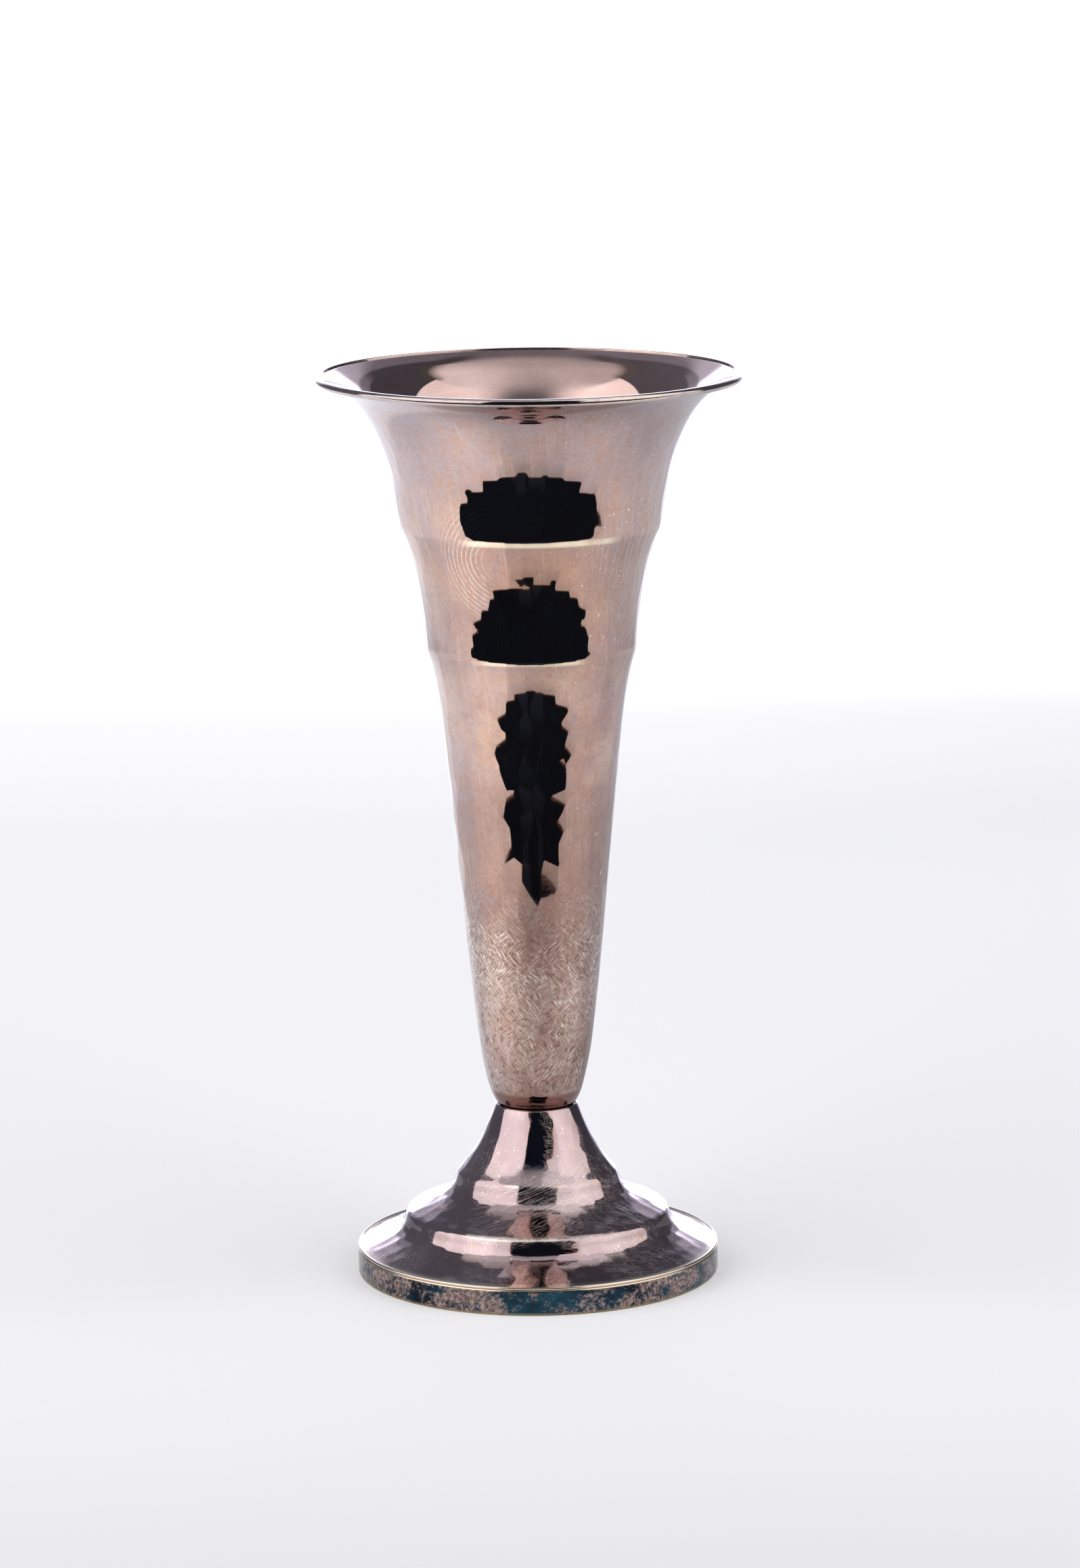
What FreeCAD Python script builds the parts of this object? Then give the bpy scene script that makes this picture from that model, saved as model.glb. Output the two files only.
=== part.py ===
import FreeCAD, Part
import math
import os

# A hand-hammered trumpet vase on a stepped, weighted foot, in millimetres.
# It stands on z = 0 with its axis on Z, and the origin is the centre of the foot's underside.

# Driving dimensions of the trumpet
overall_height = 180.0
lip_diameter = 83.8
upper_ridge_diameter = 51.3
upper_ridge_height = 150.1
lower_ridge_diameter = 41.3
lower_ridge_height = 126.0
neck_diameter = 16.1
neck_height = 34.1
body_wall = 0.7

# The half-round wire round the mouth
lip_wire_height = 1.5
lip_wire_land = 0.5
lip_drop_to_body = 0.3

# Driving dimensions of the foot
foot_diameter = 71.8
band_height = 5.1
band_wall = 1.2
band_edge_radius = 0.3
lower_step_diameter = 52.4
lower_step_height = 12.5
upper_step_diameter = 32.0
upper_step_height = 20.5
foot_wall = 0.8

# The worn ridges of the trumpet and the steps of the foot are a little round
ridge_radius = 0.6
step_radius = 1.1

# The disc that closes the trumpet
floor_thickness = 1.0
floor_lift = 1.2
solder_gap = 0.05

# The stud, washer and nut that hold the trumpet on the foot
stud_diameter = 5.0
stud_head_diameter = 13.0
stud_head_thickness = 1.0
stud_tip_chamfer = 0.4
stud_clearance = 0.25
thread_clearance = 0.03
stud_projection = 1.0
nut_across_flats = 8.0
nut_height = 4.0
nut_chamfer = 0.5
washer_diameter = 15.0
washer_thickness = 1.2

# What fills and closes the foot
pad_lift = 0.2
pad_thickness = 1.0
plate_thickness = 0.8
plate_gap = 0.1
filler_gap = 0.15
nut_pocket_gap = 1.0
tip_gap = 0.8

# Outline of each tier: share of its height, share of the way from its lower to its upper radius
stem_shares = [(0, 0), (0.026, 0.055), (0.056, 0.13), (0.10, 0.20), (0.19, 0.293), (0.43, 0.478),
               (0.67, 0.642), (0.80, 0.738), (0.90, 0.831), (0.96, 0.915), (1, 1)]
middle_shares = [(0, 0), (0.10, 0.025), (0.31, 0.12), (0.53, 0.278), (0.69, 0.445), (0.83, 0.65),
                 (0.93, 0.84), (1, 1)]
mouth_shares = [(0, 0), (0.16, 0.045), (0.35, 0.107), (0.53, 0.207), (0.69, 0.335), (0.81, 0.479),
                (0.90, 0.645), (0.96, 0.82), (1, 1)]
lower_tier_shares = [(0, 0), (0.15, 0.265), (0.30, 0.53), (0.405, 0.705), (0.475, 0.80), (0.54, 0.87),
                     (0.61, 0.917), (0.685, 0.948), (0.77, 0.969), (0.87, 0.985), (1, 1)]
middle_tier_shares = [(0, 0), (0.137, 0.27), (0.286, 0.538), (0.367, 0.67), (0.436, 0.763),
                      (0.505, 0.834), (0.58, 0.889), (0.668, 0.932), (0.766, 0.962), (0.87, 0.982), (1, 1)]
upper_tier_shares = [(0, 0), (0.03, 0.075), (0.075, 0.155), (0.14, 0.25), (0.245, 0.385), (0.49, 0.635),
                     (0.74, 0.815), (1, 1)]

# Sizes that follow from those above
lip_radius = lip_diameter / 2
lip_bend_radius = lip_wire_height / 2
lip_inner_radius = lip_radius - lip_bend_radius - lip_wire_land
body_top_height = overall_height - lip_drop_to_body
neck_radius = neck_diameter / 2
foot_radius = foot_diameter / 2
band_inner_radius = foot_radius - band_wall
floor_height = neck_height + floor_lift
stud_radius = stud_diameter / 2
hole_radius = stud_radius + stud_clearance
plate_height = pad_lift + pad_thickness
filler_height = plate_height + plate_thickness
stud_tip_height = filler_height + tip_gap
nut_seat_height = stud_tip_height + stud_projection
washer_seat_height = nut_seat_height + nut_height
pocket_height = washer_seat_height + washer_thickness

inward = FreeCAD.Vector(-1, 0, 0)
upward = FreeCAD.Vector(0, 0, 1)
origin = FreeCAD.Vector(0, 0, 0)


def at(radius, height):
    """A point of the half section."""
    return FreeCAD.Vector(radius, 0, height)


def tier(low, high, shares):
    """The outline of one tier, a smooth curve through its share points."""
    points = [at(low.x + (high.x - low.x) * out, low.z + (high.z - low.z) * up) for up, out in shares]
    curve = Part.BSplineCurve()
    curve.interpolate(points)
    return curve, points


def inner_normal(curve, point):
    """The unit normal that points into the shell, for an outline that runs upwards."""
    tangent = curve.tangent(curve.parameter(point))[0]
    return FreeCAD.Vector(-tangent.z, 0, tangent.x)


def inner_tiers(tiers, wall, first_cut, last_cut):
    """The tiers moved inwards by the wall, mitred where two meet and slid along a cut at each end."""
    moved = []
    for index, (curve, points) in enumerate(tiers):
        normals = [inner_normal(curve, point) for point in points]
        ways = list(normals)
        if index > 0:
            below_curve, below_points = tiers[index - 1]
            ways[0] = normals[0] + inner_normal(below_curve, below_points[-1])
        else:
            ways[0] = FreeCAD.Vector(first_cut)
        if index < len(tiers) - 1:
            above_curve, above_points = tiers[index + 1]
            ways[-1] = normals[-1] + inner_normal(above_curve, above_points[0])
        else:
            ways[-1] = FreeCAD.Vector(last_cut)
        inner = Part.BSplineCurve()
        inner.interpolate([point + way * (wall / normal.dot(way))
                           for point, way, normal in zip(points, ways, normals)])
        moved.append(inner)
    return moved


def edges_of(curves):
    return [curve.toShape() for curve in curves]


def ends_of(curves):
    return curves[0].StartPoint, curves[-1].EndPoint


def revolved(edges):
    """The solid swept by a closed half section."""
    face = Part.Face(Part.Wire(Part.__sortEdges__(edges)))
    return face.revolve(origin, upward, 360).Solids[0]


def closed_section(points):
    corners = points + points[:1]
    return [Part.makeLine(start, end) for start, end in zip(corners, corners[1:])]


def ring(inner_radius, outer_radius, low, high):
    return revolved(closed_section([at(inner_radius, low), at(outer_radius, low),
                                    at(outer_radius, high), at(inner_radius, high)]))


def disc(radius, low, high):
    return Part.makeCylinder(radius, high - low, at(0, low))


def circles_at(shape, stations):
    """The round edges of a turned shape that pass through the given section points."""
    found = []
    for edge in shape.Edges:
        box = edge.BoundBox
        for station in stations:
            flat = abs(box.ZMax - box.ZMin) < body_wall / 10 and abs(box.ZMax - station.z) < body_wall / 10
            if flat and abs(box.XMax - station.x) < body_wall / 10:
                found.append(edge)
    return found


def body_tiers():
    neck = at(neck_radius, neck_height)
    lower_ridge = at(lower_ridge_diameter / 2, lower_ridge_height)
    upper_ridge = at(upper_ridge_diameter / 2, upper_ridge_height)
    lip = at(lip_inner_radius, body_top_height - body_wall)
    return [tier(neck, lower_ridge, stem_shares),
            tier(lower_ridge, upper_ridge, middle_shares),
            tier(upper_ridge, lip, mouth_shares)]


def trumpet_body():
    """The raised shell, open at the mouth and at the neck."""
    tiers = body_tiers()
    outer = [curve for curve, points in tiers]
    inner = inner_tiers(tiers, body_wall, inward, upward)
    outer_start, outer_end = ends_of(outer)
    inner_start, inner_end = ends_of(inner)
    shell = revolved(edges_of(outer) + edges_of(inner)
                     + [Part.makeLine(outer_start, inner_start), Part.makeLine(outer_end, inner_end)])
    ridges = [points[-1] for curve, points in tiers[:-1]]
    return shell.makeFillet(ridge_radius, circles_at(shell, ridges))


def lip_wire():
    """The half-round wire: flat where it meets the shell, round outside."""
    low = overall_height - lip_wire_height
    middle = overall_height - lip_bend_radius
    bend = lip_radius - lip_bend_radius
    return revolved([Part.makeLine(at(lip_inner_radius, low), at(bend, low)),
                     Part.Arc(at(bend, low), at(lip_radius, middle), at(bend, overall_height)).toShape(),
                     Part.makeLine(at(bend, overall_height), at(lip_inner_radius, overall_height)),
                     Part.makeLine(at(lip_inner_radius, overall_height), at(lip_inner_radius, low))])


def body_floor():
    radius = neck_radius - body_wall - solder_gap
    return disc(radius, floor_height, floor_height + floor_thickness)


def foot_tiers():
    rim = at(foot_radius, band_height)
    lower_step = at(lower_step_diameter / 2, lower_step_height)
    upper_step = at(upper_step_diameter / 2, upper_step_height)
    neck = at(neck_radius, neck_height)
    return [tier(rim, lower_step, lower_tier_shares),
            tier(lower_step, upper_step, middle_tier_shares),
            tier(upper_step, neck, upper_tier_shares)]


def foot_shell():
    """The stepped shell, turned in at the neck to a flat seat with a hole for the stud."""
    tiers = foot_tiers()
    outer = [curve for curve, points in tiers]
    inner = inner_tiers(tiers, foot_wall, inward, inward)
    outer_start, outer_end = ends_of(outer)
    inner_start, inner_end = ends_of(inner)
    hollow = revolved(edges_of(inner) + closed_section(
        [inner_start, inner_end, at(0, inner_end.z), at(0, inner_start.z)])[1:])
    hollow = hollow.cut(disc(foot_radius, neck_height - foot_wall, overall_height))
    bulk = revolved(edges_of(outer) + closed_section(
        [outer_start, outer_end, at(0, outer_end.z), at(0, outer_start.z)])[1:])
    steps = [points[-1] for curve, points in tiers[:-1]]
    bulk = bulk.makeFillet(step_radius, circles_at(bulk, steps))
    return bulk.cut(hollow).cut(disc(hole_radius, 0, overall_height)).Solids[0]


def foot_band():
    band = ring(band_inner_radius, foot_radius, 0, band_height)
    return band.makeFillet(band_edge_radius, circles_at(band, [at(foot_radius, 0)]))


def foot_weight():
    """The filler: it follows the shell's inside with a gap, and has the stud's bore and the nut's pocket."""
    tiers = foot_tiers()
    inner = inner_tiers(tiers, foot_wall + filler_gap, inward, inward)
    start, end = ends_of(inner)
    edge_radius = min(start.x, band_inner_radius - filler_gap)
    top = disc(foot_radius, neck_height - foot_wall - filler_gap, overall_height)
    cast = revolved(edges_of(inner) + closed_section([start, end, at(0, end.z), at(0, start.z)])[1:])
    skirt = disc(edge_radius, filler_height, band_height)
    cast = cast.cut(top).fuse(skirt).removeSplitter()
    bore = disc(hole_radius, filler_height, overall_height)
    pocket = disc(washer_diameter / 2 + nut_pocket_gap, filler_height, pocket_height)
    return cast.cut(bore).cut(pocket).Solids[0]


def fixing_stud():
    """The headed stud: its head is soldered under the trumpet's floor, its tip carries the nut."""
    head_low = floor_height - stud_head_thickness
    head = disc(stud_head_diameter / 2, head_low, floor_height)
    shank = disc(stud_radius, stud_tip_height, head_low)
    tip = [edge for edge in shank.Edges if edge.BoundBox.ZMax < stud_tip_height + stud_tip_chamfer]
    return shank.makeChamfer(stud_tip_chamfer, tip).fuse(head).removeSplitter()


def stud_washer():
    return ring(hole_radius, washer_diameter / 2, washer_seat_height, pocket_height)


def stud_nut():
    """The hexagon nut, its corners turned off on both faces."""
    corner = nut_across_flats / math.sqrt(3)
    corners = [FreeCAD.Vector(corner * math.cos(math.radians(60 * turn)),
                              corner * math.sin(math.radians(60 * turn)), nut_seat_height)
               for turn in range(7)]
    hexagon = Part.Face(Part.makePolygon(corners)).extrude(at(0, nut_height))
    blank = disc(corner, nut_seat_height, washer_seat_height)
    blank = blank.makeChamfer(nut_chamfer, [edge for edge in blank.Edges if edge.isClosed()])
    bore = disc(stud_radius + thread_clearance, nut_seat_height, washer_seat_height)
    return hexagon.common(blank).cut(bore).Solids[0]


def base_plate():
    return disc(band_inner_radius - plate_gap, plate_height, filler_height)


def baize_pad():
    return disc(band_inner_radius - plate_gap, pad_lift, plate_height)


nodes = {
    "trumpet_body": trumpet_body,
    "lip_wire": lip_wire,
    "body_floor": body_floor,
    "foot_shell": foot_shell,
    "foot_band": foot_band,
    "foot_weight": foot_weight,
    "fixing_stud": fixing_stud,
    "stud_washer": stud_washer,
    "stud_nut": stud_nut,
    "base_plate": base_plate,
    "baize_pad": baize_pad,
}

os.makedirs("parts", exist_ok=True)
for name, build in nodes.items():
    solid = build()
    solid.exportStep("parts/" + name + ".step")
    box = solid.optimalBoundingBox()
    print(name, "valid" if solid.isValid() else "INVALID", "solids", len(solid.Solids),
          "volume", round(solid.Volume, 1), "radius", round(box.XMax, 2),
          "from", round(box.ZMin, 2), "to", round(box.ZMax, 2))
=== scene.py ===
import math

import bpy
import numpy as np
from mathutils import Matrix


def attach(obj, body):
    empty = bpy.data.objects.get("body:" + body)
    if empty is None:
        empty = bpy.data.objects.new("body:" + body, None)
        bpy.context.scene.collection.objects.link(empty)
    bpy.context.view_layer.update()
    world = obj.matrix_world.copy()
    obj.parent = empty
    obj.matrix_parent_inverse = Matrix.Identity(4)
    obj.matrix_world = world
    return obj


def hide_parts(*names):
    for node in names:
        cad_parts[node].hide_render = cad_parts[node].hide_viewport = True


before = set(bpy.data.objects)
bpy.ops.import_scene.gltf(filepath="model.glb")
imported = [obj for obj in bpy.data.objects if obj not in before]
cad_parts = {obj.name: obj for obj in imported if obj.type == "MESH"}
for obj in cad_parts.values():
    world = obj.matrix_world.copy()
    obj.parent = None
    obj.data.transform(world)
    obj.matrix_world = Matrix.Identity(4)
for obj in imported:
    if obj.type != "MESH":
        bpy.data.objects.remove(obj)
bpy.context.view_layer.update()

MM = 0.001

# Sizes in mm, as in the part's source
OVERALL_HEIGHT = 180.0
LIP_RADIUS = 41.9
LIP_INNER_RADIUS = 40.65
LIP_WIRE_HEIGHT = 1.5
LIP_LAND = 0.5
BODY_TOP = 179.0
UPPER_RIDGE = (25.65, 150.1)
LOWER_RIDGE = (20.65, 126.0)
NECK = (8.05, 34.1)
BODY_FOOT_RADIUS = 7.72
BODY_WALL = 0.7
FOOT_RADIUS = 35.9
BAND_HEIGHT = 5.1
BAND_WALL = 1.2
LOWER_STEP = (26.2, 12.5)
UPPER_STEP = (16.0, 20.5)
FOOT_WALL = 0.8

# Outline of each tier: share of its height, share of the way from its lower to its upper radius
STEM_SHARES = [(0, 0), (0.012, 0.048), (0.030, 0.103), (0.060, 0.161), (0.10, 0.2204), (0.19, 0.311),
               (0.43, 0.4913), (0.67, 0.6511), (0.80, 0.7447), (0.90, 0.8353), (0.96, 0.9172), (1, 1)]
MIDDLE_SHARES = [(0, 0), (0.10, 0.025), (0.31, 0.12), (0.53, 0.278), (0.69, 0.445), (0.83, 0.65),
                 (0.93, 0.84), (1, 1)]
MOUTH_SHARES = [(0, 0), (0.16, 0.045), (0.35, 0.107), (0.53, 0.207), (0.69, 0.335), (0.81, 0.479),
                (0.90, 0.645), (0.96, 0.82), (1, 1)]
LOWER_TIER_SHARES = [(0, 0), (0.15, 0.265), (0.30, 0.53), (0.405, 0.705), (0.475, 0.80), (0.54, 0.87),
                     (0.61, 0.917), (0.685, 0.948), (0.77, 0.969), (0.87, 0.985), (1, 1)]
MIDDLE_TIER_SHARES = [(0, 0), (0.137, 0.27), (0.286, 0.538), (0.367, 0.67), (0.436, 0.763),
                      (0.505, 0.834), (0.58, 0.889), (0.668, 0.932), (0.766, 0.962), (0.87, 0.982), (1, 1)]
UPPER_TIER_SHARES = [(0, 0), (0.03, 0.075), (0.075, 0.155), (0.14, 0.25), (0.245, 0.385), (0.49, 0.635),
                     (0.74, 0.815), (1, 1)]

# Hammer marks: low, high, row spacing, mark spacing, flatness across, depth along, lean of rows, seed
BODY_BANDS = [(37.5, 72.0, 4.2, 3.4, 0.6, 0.5, 0.2, 1), (72.0, 120.0, 5.2, 3.4, 0.7, 0.6, 0.3, 119),
              (120.0, 126.0, 4.0, 3.8, 0.6, 0.15, 0.0, 3), (126.0, 147.0, 3.6, 4.4, 0.85, 0.6, 0.5, 113),
              (147.0, 150.1, 4.0, 4.4, 0.7, 0.3, 0.0, 5), (150.1, 171.0, 3.6, 4.4, 0.85, 0.6, 0.5, 124)]
FOOT_BANDS = [(5.4, 12.5, 2.8, 4.2, 0.8, 1.7, 0.0, 7), (12.5, 20.5, 2.8, 3.9, 0.8, 1.5, 0.0, 8),
              (20.5, 33.8, 3.6, 3.6, 0.6, 0.9, 0.0, 9)]

# Spread of the marks round their band's values, as shares
ROW_SPREAD = (0.7, 1.35)
PITCH_SPREAD = (0.88, 1.15)
WIDTH_SPREAD = (0.75, 1.05)
DEPTH_SPREAD = (0.6, 1.4)
# Shift of a mark, as a share of the row spacing and of the mark spacing
SHIFT_ALONG = 0.10
SHIFT_AROUND = 0.13
# Slopes of rows and marks, before their band's shares
ROW_LEAN = 0.012
TILT_ACROSS = 0.020
TILT_ALONG = 0.005
# Lift of a mark in mm, its curve along the outline per mm, and the most of its curve across times the radius
LIFT = 0.006
DEPTH_ALONG = 0.0050
MOST_ACROSS = 0.42
# How far a mark is felt, the height where there is none, and how far all of them are sunk, in mm
MARK_REACH = 10.0
UNMARKED = 9.0
MARK_OFFSET = 0.03
# Where marks and dents work: low end, its soft width, high end, its soft width
BODY_MARKED = (35.0, 3.0, 171.0, 3.0)
FOOT_MARKED = (5.6, 0.8, 33.9, 2.0)

# Slow dents: lobes round the vase, wavelengths along it and depth in mm, radians in a wave, and seeds
DENT_LOBES = (2, 3, 5, 7, 9, 12)
DENT_WAVES = (14, 40)
DENT_DEPTH = 0.02
WAVE_TURN = 6.28
BODY_DENT_SEED = 41
FOOT_DENT_SEED = 77

# Outlines: spacing of their points in mm, the most turn from one point of a mesh to the next, and the number
# of points over which the bend is averaged
OUTLINE_STEP = 0.05
MOST_TURN = 0.10
BEND_POINTS = 13

# Faces round each piece
BODY_AROUND = 560
FOOT_AROUND = 420
LIP_AROUND = 480
BAND_AROUND = 360

# Metals: lengths in metres, and the roughness of polished plate
STROKE_RADIUS = 0.010
RIDGE_EDGE = 0.0003
STEP_EDGE = 0.00015
SCRATCH_DEPTH = 0.000010
LIP_GRAIN_DEPTH = 0.000008
BAND_GRAIN_DEPTH = 0.00002
POLISH = 0.012

# Colours of the trumpet
PLATE_BROWN, PLATE_ROSE = (0.40, 0.258, 0.228), (0.50, 0.35, 0.31)
PEACH = (0.57, 0.395, 0.315)
MOUTH_GREY = (0.44, 0.345, 0.35)
MOTTLE_RUST, MOTTLE_GREY = (0.47, 0.29, 0.215), (0.40, 0.34, 0.36)
STEM_BROWN = (0.27, 0.155, 0.125)
UNDER_RIDGE = (0.60, 0.365, 0.27)
STREAK_PALE = (0.60, 0.50, 0.47)
GRAIN_BROWN = (0.22, 0.13, 0.10)
PAINTED_SHADE_BROWN = (0.20, 0.11, 0.09)
FLECK_BROWN = (0.16, 0.085, 0.07)
SCRATCH_SILVER = (0.94, 0.82, 0.75)
RIDGE_BARE_AND_HIGHLIGHT = (0.92, 0.80, 0.62)
JOINT_BROWN = (0.27, 0.155, 0.135)
INSIDE_DULL, INSIDE_PALE = (0.50, 0.345, 0.315), (0.60, 0.435, 0.395)
INSIDE_SCRATCH = (0.85, 0.76, 0.70)
# of the foot
FOOT_PURPLE, FOOT_ROSE = (0.41, 0.31, 0.32), (0.52, 0.40, 0.40)
FLECK_ORANGE = (0.62, 0.34, 0.20)
SPECK_SILVER = (0.92, 0.84, 0.78)
FOOT_SCRATCH = (0.90, 0.82, 0.78)
STEP_BARE_AND_HIGHLIGHT = (0.93, 0.86, 0.76)
BEAD_BARE_AND_HIGHLIGHT = (0.80, 0.70, 0.58)
# of the wire round the mouth
LIP_GREY, LIP_PALE = (0.50, 0.42, 0.41), (0.66, 0.56, 0.50)
LIP_BROWN = (0.36, 0.27, 0.22)
# and of the band
BLUE_BLACK, BLUE = (0.010, 0.016, 0.026), (0.022, 0.075, 0.115)
RUBBED_DARK, RUBBED_PALE = (0.17, 0.10, 0.085), (0.56, 0.43, 0.39)
BOTTOM_BRASS = (0.42, 0.31, 0.15)
TOP_BRASS = (0.86, 0.74, 0.56)

# The table, in metres, and what metal sees of it
FLOOR_HALF_SIZE = 9.0
TABLE_EDGE = -0.205
TABLE_SIDE_EDGE = -0.179
EDGE_SOFTNESS = 0.0012
EDGE_STRIP = 0.0035
TABLE_COLOUR = (0.80, 0.806, 0.822)
TABLE_WARM, TABLE_COOL = (1.0, 0.96, 0.92), (0.97, 1.07, 1.18)
EDGE_ORANGE = (1.0, 0.55, 0.32)
MIRROR_ROUGHNESS = 0.15

# Light in the room
BLACK = (0, 0, 0)
WHITE = (1, 1, 1)
DARK_BLUE = (0.42, 0.62, 1.0)
PANEL_WHITE = (1.0, 0.98, 0.98)
ROOM_BLUE = (0.82, 0.86, 1.06)
CEILING_WHITE = (0.97, 0.97, 1.0)
PANEL_EDGE_ORANGE = (1.0, 0.60, 0.40)
GAP_LEVEL = 0.022

# Camera, in metres, mm, radians and degrees
CAMERA_PLACE = (0.00135, -1.150, 0.322743)
CAMERA_LENS = 136.46
SENSOR_WIDTH = 36.0
CLIP_START = 0.05
CLIP_END = 50.0
LOOK_DOWN = 0.19266
LEAN_DEGREES = 0.6


# Outlines

def arclength(points):
    """Length along an outline at each of its points."""
    return np.r_[0, np.cumsum(np.hypot(*np.diff(points, axis=0).T))]


def natural_spline(knots, values, at):
    """Natural cubic spline through (knots, values), read at the given stations."""
    n = len(knots)
    h = np.diff(knots)
    system = np.eye(n)
    right = np.zeros((n, values.shape[1]))
    for i in range(1, n - 1):
        system[i, i - 1:i + 2] = h[i - 1], 2 * (h[i - 1] + h[i]), h[i]
        right[i] = 6 * ((values[i + 1] - values[i]) / h[i] - (values[i] - values[i - 1]) / h[i - 1])
    m = np.linalg.solve(system, right)
    i = np.clip(np.searchsorted(knots, at, side="right") - 1, 0, n - 2)
    gap = h[i][:, None]
    before = (knots[i + 1] - at)[:, None]
    after = (at - knots[i])[:, None]
    cubic = (m[i] * before ** 3 + m[i + 1] * after ** 3) / (6 * gap)
    from_before = (values[i] / gap - m[i] * gap / 6) * before
    from_after = (values[i + 1] / gap - m[i + 1] * gap / 6) * after
    return cubic + from_before + from_after


def tier(low, high, shares):
    """Dense outline of one tier, from (radius, height) low to high."""
    points = np.array([(low[0] + (high[0] - low[0]) * out, low[1] + (high[1] - low[1]) * up)
                       for up, out in shares])
    s = arclength(points)
    return natural_spline(s, points, np.linspace(0, s[-1], int(s[-1] / OUTLINE_STEP) + 2))


def join(*parts):
    """One outline of several, without the doubled points where they meet."""
    out = [parts[0]]
    for part in parts[1:]:
        out.append(part[1:] if np.hypot(*(part[0] - out[-1][-1])) < 1e-6 else part)
    return np.concatenate(out)


def read_at(points, s):
    """Points of an outline at given lengths along it."""
    along = arclength(points)
    return np.stack([np.interp(s, along, points[:, 0]), np.interp(s, along, points[:, 1])], 1)


def normals(points):
    """Unit normals to the right of the walking direction, so outward on an outline that goes up."""
    t = np.gradient(points, axis=0)
    t /= np.maximum(np.linalg.norm(t, axis=1), 1e-9)[:, None]
    return np.stack([t[:, 1], -t[:, 0]], 1)


def rounded(points, radius):
    """The outline with its corners worn round and its two ends kept."""
    length = arclength(points)[-1]
    p = read_at(points, np.linspace(0, length, int(length / OUTLINE_STEP) + 1))
    n = int(4 * radius / OUTLINE_STEP)
    weight = np.exp(-0.5 * (np.arange(-n, n + 1) * OUTLINE_STEP / radius) ** 2)
    weight /= weight.sum()
    padded = np.concatenate([2 * p[0] - p[n:0:-1], p, 2 * p[-1] - p[-2:-n - 2:-1]])
    return np.stack([np.convolve(padded[:, i], weight, "valid") for i in (0, 1)], 1)


def spaced(points, step):
    """The outline with points `step` apart, closer where it turns by more than MOST_TURN in a step."""
    length = arclength(points)[-1]
    fine = np.linspace(0, length, int(length / OUTLINE_STEP) + 1)
    p = read_at(points, fine)
    d = np.gradient(p, fine, axis=0)
    bend = np.abs(np.gradient(np.unwrap(np.arctan2(d[:, 1], d[:, 0])), fine))
    bend = np.convolve(np.pad(bend, BEND_POINTS // 2, "edge"), np.ones(BEND_POINTS) / BEND_POINTS, "valid")
    density = np.maximum(1 / step, bend / MOST_TURN)
    count = np.r_[0, np.cumsum(0.5 * (density[1:] + density[:-1]) * np.diff(fine))]
    at = np.interp(np.linspace(0, count[-1], int(round(count[-1])) + 1), count, fine)
    return read_at(points, at)


def arc(centre, radius, start, end, n):
    """n points of a circle's arc, from start to end in degrees."""
    a = np.radians(np.linspace(start, end, n))
    return np.stack([centre[0] + radius * np.cos(a), centre[1] + radius * np.sin(a)], 1)


# Meshes

def make_mesh(name, co, quads):
    """A smooth-shaded object of four-sided faces, put in the scene."""
    mesh = bpy.data.meshes.new(name)
    mesh.vertices.add(len(co))
    mesh.vertices.foreach_set("co", co.astype(np.float32).ravel())
    mesh.loops.add(quads.size)
    mesh.loops.foreach_set("vertex_index", quads.astype(np.int32).ravel())
    mesh.polygons.add(len(quads))
    mesh.polygons.foreach_set("loop_start", np.arange(0, quads.size, 4, dtype=np.int32))
    mesh.polygons.foreach_set("use_smooth", np.ones(len(quads), bool))
    mesh.update(calc_edges=True)
    mesh.validate()
    ob = bpy.data.objects.new(name, mesh)
    bpy.context.scene.collection.objects.link(ob)
    return ob


def lathe(name, outline, around, relief=None):
    """Closed ring: the closed outline turned round the axis, its points moved out by the relief."""
    n = len(outline)
    closed = np.concatenate([outline[-1:], outline, outline[:1]])
    out = normals(closed)[1:-1]
    theta = np.arange(around) * 2 * math.pi / around
    push = np.zeros((n, around)) if relief is None else relief
    r = outline[:, :1] + push * out[:, :1]
    z = outline[:, 1:] + push * out[:, 1:]
    co = np.stack([r * np.cos(theta), r * np.sin(theta), z], -1).reshape(-1, 3) * MM
    i = np.arange(n)[:, None]
    j = np.arange(around)[None, :]
    above = (i + 1) % n
    beside = (j + 1) % around
    quads = np.stack([i * around + j, i * around + beside, above * around + beside, above * around + j], -1)
    return make_mesh(name, co, quads.reshape(-1, 4))


def hammer_rows(line, bands):
    """Rows of hammer marks. A row has its place s along the outline, its number n of marks and its phase.
    Each of its marks has a shift along (ds) and round (da), a curve across (ka) and along (ks), a tilt across
    (ta) and along (ts), and a lift."""
    s = arclength(line)
    rows = []
    for low, high, spacing, pitch, across, along, lean, seed in bands:
        rng = np.random.default_rng(seed)
        start, end = np.interp((low, high), line[:, 1], s)
        count = max(1, int(round((end - start) / spacing)))
        cuts = np.r_[0, np.cumsum(rng.uniform(*ROW_SPREAD, count))]
        cuts = start + (end - start) * cuts / cuts[-1]
        for near, far in zip(cuts[:-1], cuts[1:]):
            centre = (near + far) / 2
            radius = float(np.interp(centre, s, line[:, 0]))
            n = max(6, int(round(2 * math.pi * radius / (pitch * rng.uniform(*PITCH_SPREAD)))))
            row_lean = rng.normal(0, ROW_LEAN * lean)
            rows.append({
                "s": centre, "n": n, "phase": rng.uniform(0, 1),
                "ds": rng.normal(0, SHIFT_ALONG * spacing, n), "da": rng.normal(0, SHIFT_AROUND, n),
                "ka": across * rng.uniform(*WIDTH_SPREAD, n) / (2 * radius),
                "ks": DEPTH_ALONG * along * rng.uniform(*DEPTH_SPREAD, n),
                "ta": rng.normal(0, TILT_ACROSS * across, n),
                "ts": row_lean + rng.normal(0, TILT_ALONG * along, n),
                "lift": rng.normal(0, LIFT, n)})
    return rows


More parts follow.
